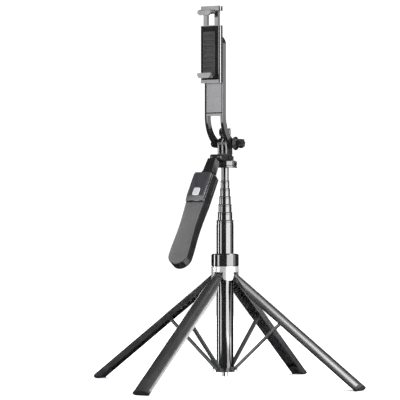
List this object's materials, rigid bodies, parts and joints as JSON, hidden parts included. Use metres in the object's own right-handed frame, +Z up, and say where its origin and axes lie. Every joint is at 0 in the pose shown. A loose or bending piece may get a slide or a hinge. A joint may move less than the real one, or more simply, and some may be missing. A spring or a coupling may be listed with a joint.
{
  "type": "selfie stick",
  "caption": "Telescopic selfie stick that opens into a table stand on folding legs, with a tilting phone arm, spring clamp, swing-out grip handle, removable shutter remote and camera screw.",
  "frame": {"origin": "on the mast axis, on the surface that the four feet stand on", "axes": "+Z up the mast; +X along the head hinge, towards its star knob; -Y the front, the side of the phone and of the handle; the legs point along +X, +Y, -X and -Y"},
  "size_m": [0.4056, 0.4056, 0.491],
  "materials": {
    "black_tube": "gloss black lacquer on thin steel tube",
    "black_gloss": "gloss",
    "bright_ring": "bright satin",
    "steel": "satin",
    "bush_plastic": "matte",
    "leg_gray": "satin with fine cross brushing",
    "rubber": "matte",
    "strut_dark": "satin",
    "head_black": "semi-gloss",
    "knob_black": "matte",
    "thumb_metal": "satin",
    "arm_gray": "satin",
    "clamp_gray": "satin",
    "handle_gray": "matte",
    "handle_black": "gloss",
    "remote_black": "gloss",
    "button_silver": "satin",
    "board_green": "solder mask"
  },
  "bodies": {
    "column": {"center_tube": "black_tube", "tube_mouth_ring": "black_gloss", "bottom_hub": "head_black", "hub_bolt": "steel"},
    "collar": {"collar_cap": "black_gloss", "leg_yoke": "bright_ring", "leg_pins": "steel", "collar_bush": "bush_plastic"},
    "leg_front": {"leg_front": "leg_gray", "foot_front": "rubber", "strut_pin_front": "steel"},
    "leg_right": {"leg_right": "leg_gray", "foot_right": "rubber", "strut_pin_right": "steel"},
    "leg_back": {"leg_back": "leg_gray", "foot_back": "rubber", "strut_pin_back": "steel"},
    "leg_left": {"leg_left": "leg_gray", "foot_left": "rubber", "strut_pin_left": "steel"},
    "strut_front": {"strut_front": "strut_dark"},
    "strut_right": {"strut_right": "strut_dark"},
    "strut_back": {"strut_back": "strut_dark"},
    "strut_left": {"strut_left": "strut_dark"},
    "stage_2": {"tube_stage_2": "black_tube", "slide_bush_2": "bush_plastic"},
    "stage_3": {"tube_stage_3": "black_tube", "slide_bush_3": "bush_plastic"},
    "stage_4": {"tube_stage_4": "black_tube", "slide_bush_4": "bush_plastic"},
    "stage_5": {"tube_stage_5": "black_tube", "slide_bush_5": "bush_plastic"},
    "stage_6": {"tube_stage_6": "black_tube", "slide_bush_6": "bush_plastic"},
    "stage_7": {"tube_stage_7": "black_tube", "slide_bush_7": "bush_plastic"},
    "head": {"head_cup": "black_gloss", "head_base": "head_black", "hinge_bolt": "steel", "hinge_nut": "head_black", "knuckle_pin": "steel"},
    "knob": {"hinge_knob": "knob_black"},
    "camera_mount": {"mount_body": "head_black", "camera_screw": "steel"},
    "thumb_nut": {"thumb_ring": "thumb_metal"},
    "arm": {"fork_arm": "arm_gray", "swivel_rivet": "steel"},
    "clamp": {"clamp_body": "clamp_gray", "clamp_rails": "steel", "clamp_spring": "steel", "lower_pad": "rubber"},
    "jaw": {"upper_jaw": "clamp_gray", "upper_pad": "rubber"},
    "handle": {"handle_front": "handle_gray", "handle_back": "handle_black", "handle_screws": "steel"},
    "remote": {"remote_case": "remote_black", "remote_board": "board_green", "remote_cell": "steel"},
    "button": {"remote_button": "button_silver"}
  },
  "joints": [
    {"name": "collar_slide", "type": "slide", "parent": "column", "child": "collar", "axis": [0, 0, 1], "range_m": [0, 0.0706]},
    {"name": "leg_front_fold", "type": "hinge", "parent": "collar", "child": "leg_front", "pos_m": [0, -0.014, 0.141], "axis": [1, 0, 0], "range_deg": [0, 53.42]},
    {"name": "strut_front_fold", "type": "hinge", "parent": "leg_front", "child": "strut_front", "pos_m": [0, -0.08786, 0.08615], "axis": [1, 0, 0], "range_deg": [-101.46, 0]},
    {"name": "leg_right_fold", "type": "hinge", "parent": "collar", "child": "leg_right", "pos_m": [0.014, 0, 0.141], "axis": [0, 1, 0], "range_deg": [0, 53.42]},
    {"name": "strut_right_fold", "type": "hinge", "parent": "leg_right", "child": "strut_right", "pos_m": [0.08786, 0, 0.08615], "axis": [0, 1, 0], "range_deg": [-101.46, 0]},
    {"name": "leg_back_fold", "type": "hinge", "parent": "collar", "child": "leg_back", "pos_m": [0, 0.014, 0.141], "axis": [-1, 0, 0], "range_deg": [0, 53.42]},
    {"name": "strut_back_fold", "type": "hinge", "parent": "leg_back", "child": "strut_back", "pos_m": [0, 0.08786, 0.08615], "axis": [-1, 0, 0], "range_deg": [-101.46, 0]},
    {"name": "leg_left_fold", "type": "hinge", "parent": "collar", "child": "leg_left", "pos_m": [-0.014, 0, 0.141], "axis": [0, -1, 0], "range_deg": [0, 53.42]},
    {"name": "strut_left_fold", "type": "hinge", "parent": "leg_left", "child": "strut_left", "pos_m": [-0.08786, 0, 0.08615], "axis": [0, -1, 0], "range_deg": [-101.46, 0]},
    {"name": "stage_2_slide", "type": "slide", "parent": "column", "child": "stage_2", "axis": [0, 0, 1], "range_m": [-0.0068, 0.15]},
    {"name": "stage_3_slide", "type": "slide", "parent": "stage_2", "child": "stage_3", "axis": [0, 0, 1], "range_m": [-0.0068, 0.15]},
    {"name": "stage_4_slide", "type": "slide", "parent": "stage_3", "child": "stage_4", "axis": [0, 0, 1], "range_m": [-0.0068, 0.15]},
    {"name": "stage_5_slide", "type": "slide", "parent": "stage_4", "child": "stage_5", "axis": [0, 0, 1], "range_m": [-0.0068, 0.15]},
    {"name": "stage_6_slide", "type": "slide", "parent": "stage_5", "child": "stage_6", "axis": [0, 0, 1], "range_m": [-0.0068, 0.15]},
    {"name": "stage_7_slide", "type": "slide", "parent": "stage_6", "child": "stage_7", "axis": [0, 0, 1], "range_m": [-0.0068, 0.15]},
    {"name": "head_pan", "type": "hinge", "parent": "stage_7", "child": "head", "pos_m": [0, 0, 0.286], "axis": [0, 0, 1], "continuous": true},
    {"name": "knob_turn", "type": "hinge", "parent": "head", "child": "knob", "pos_m": [0.02, 0, 0.3143], "axis": [1, 0, 0], "continuous": true},
    {"name": "mount_tilt", "type": "hinge", "parent": "head", "child": "camera_mount", "pos_m": [0, 0, 0.3143], "axis": [-1, 0, 0], "range_deg": [-60, 90]},
    {"name": "thumb_nut_turn", "type": "hinge", "parent": "camera_mount", "child": "thumb_nut", "pos_m": [0, 0, 0.329], "axis": [0, 0, 1], "continuous": true},
    {"name": "arm_tilt", "type": "hinge", "parent": "head", "child": "arm", "pos_m": [0, 0, 0.3143], "axis": [-1, 0, 0], "range_deg": [-45, 180]},
    {"name": "clamp_turn", "type": "hinge", "parent": "arm", "child": "clamp", "pos_m": [0, -0.028, 0.4417], "axis": [0, -1, 0], "continuous": true},
    {"name": "jaw_slide", "type": "slide", "parent": "clamp", "child": "jaw", "axis": [0, 0, 1], "range_m": [-0.014, 0.012], "deforming": ["clamp_spring"]},
    {"name": "handle_swing", "type": "hinge", "parent": "head", "child": "handle", "pos_m": [0, -0.022, 0.296], "axis": [1, 0, 0], "range_deg": [-57, 20]},
    {"name": "remote_release", "type": "slide", "parent": "handle", "child": "remote", "axis": [0, -0.8387, 0.5446], "range_m": [0, 0.02]},
    {"name": "button_press", "type": "slide", "parent": "remote", "child": "button", "axis": [0, 0.8387, -0.5446], "range_m": [0, 0.0008], "stiffness_N_per_m": 600}
  ],
  "couplings": [
    {"joint": "leg_front_fold", "follows": "collar_slide", "rad_per_m": 13.202},
    {"joint": "strut_front_fold", "follows": "collar_slide", "rad_per_m": -25.078},
    {"joint": "leg_right_fold", "follows": "collar_slide", "rad_per_m": 13.202},
    {"joint": "strut_right_fold", "follows": "collar_slide", "rad_per_m": -25.078},
    {"joint": "leg_back_fold", "follows": "collar_slide", "rad_per_m": 13.202},
    {"joint": "strut_back_fold", "follows": "collar_slide", "rad_per_m": -25.078},
    {"joint": "leg_left_fold", "follows": "collar_slide", "rad_per_m": 13.202},
    {"joint": "strut_left_fold", "follows": "collar_slide", "rad_per_m": -25.078}
  ]
}
